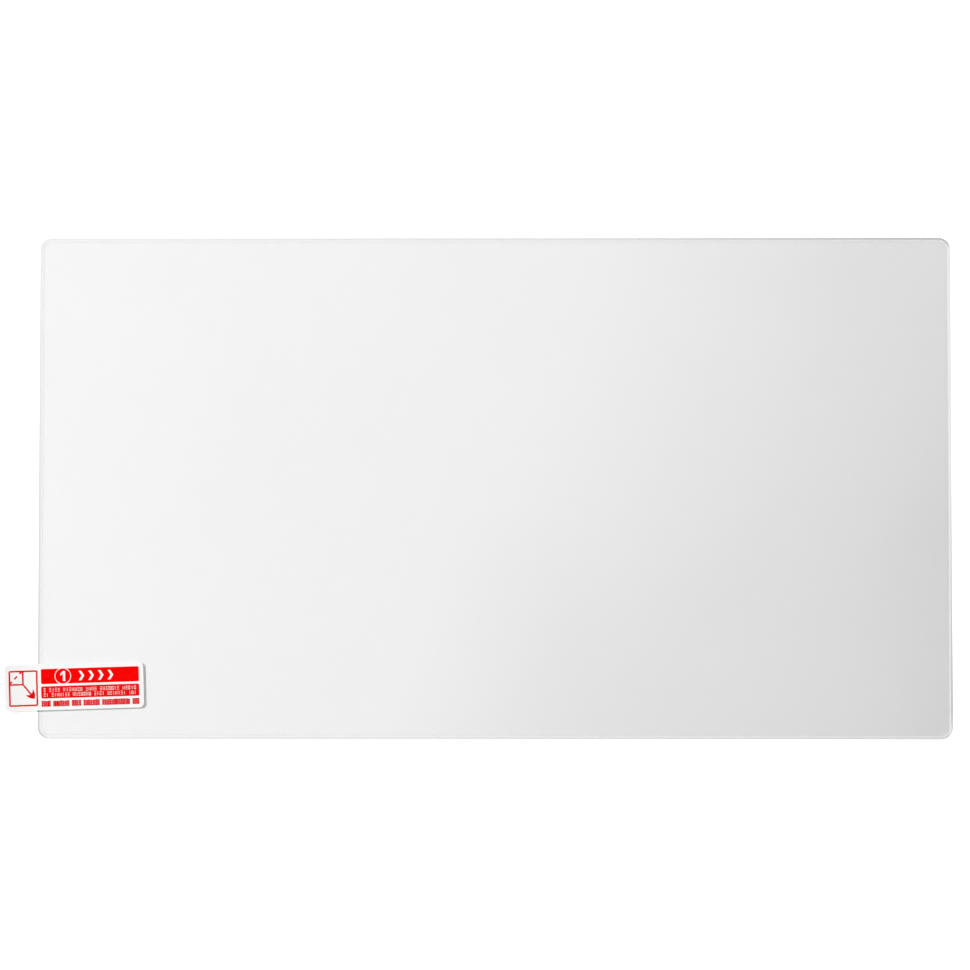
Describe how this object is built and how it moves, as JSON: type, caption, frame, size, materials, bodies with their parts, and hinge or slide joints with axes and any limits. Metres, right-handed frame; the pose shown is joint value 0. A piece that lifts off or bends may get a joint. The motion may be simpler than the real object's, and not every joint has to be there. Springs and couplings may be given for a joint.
{
  "type": "game console screen protector",
  "caption": "Clear tempered glass screen protector for a handheld game console, with its adhesive, release liner and printed pull tab.",
  "frame": {"origin": "middle of the glass's front face, which it lies on", "axes": "+X along the long side, away from the end with the pull tab; +Y across the glass, away from the side that the tab is near; +Z from the front face up to the release liner"},
  "size_m": [0.176, 0.0934, 0.0012],
  "materials": {
    "clear_glass": "polished",
    "clear_adhesive": "gloss",
    "liner_film": "gloss",
    "tab_label": "satin",
    "red_ink": "satin"
  },
  "bodies": {
    "root": {"tempered_glass": "clear_glass", "adhesive_layer": "clear_adhesive", "release_liner": "liner_film", "pull_tab": "tab_label", "pull_tab_print": "red_ink", "pull_tab_notes": "red_ink"}
  },
  "joints": []
}
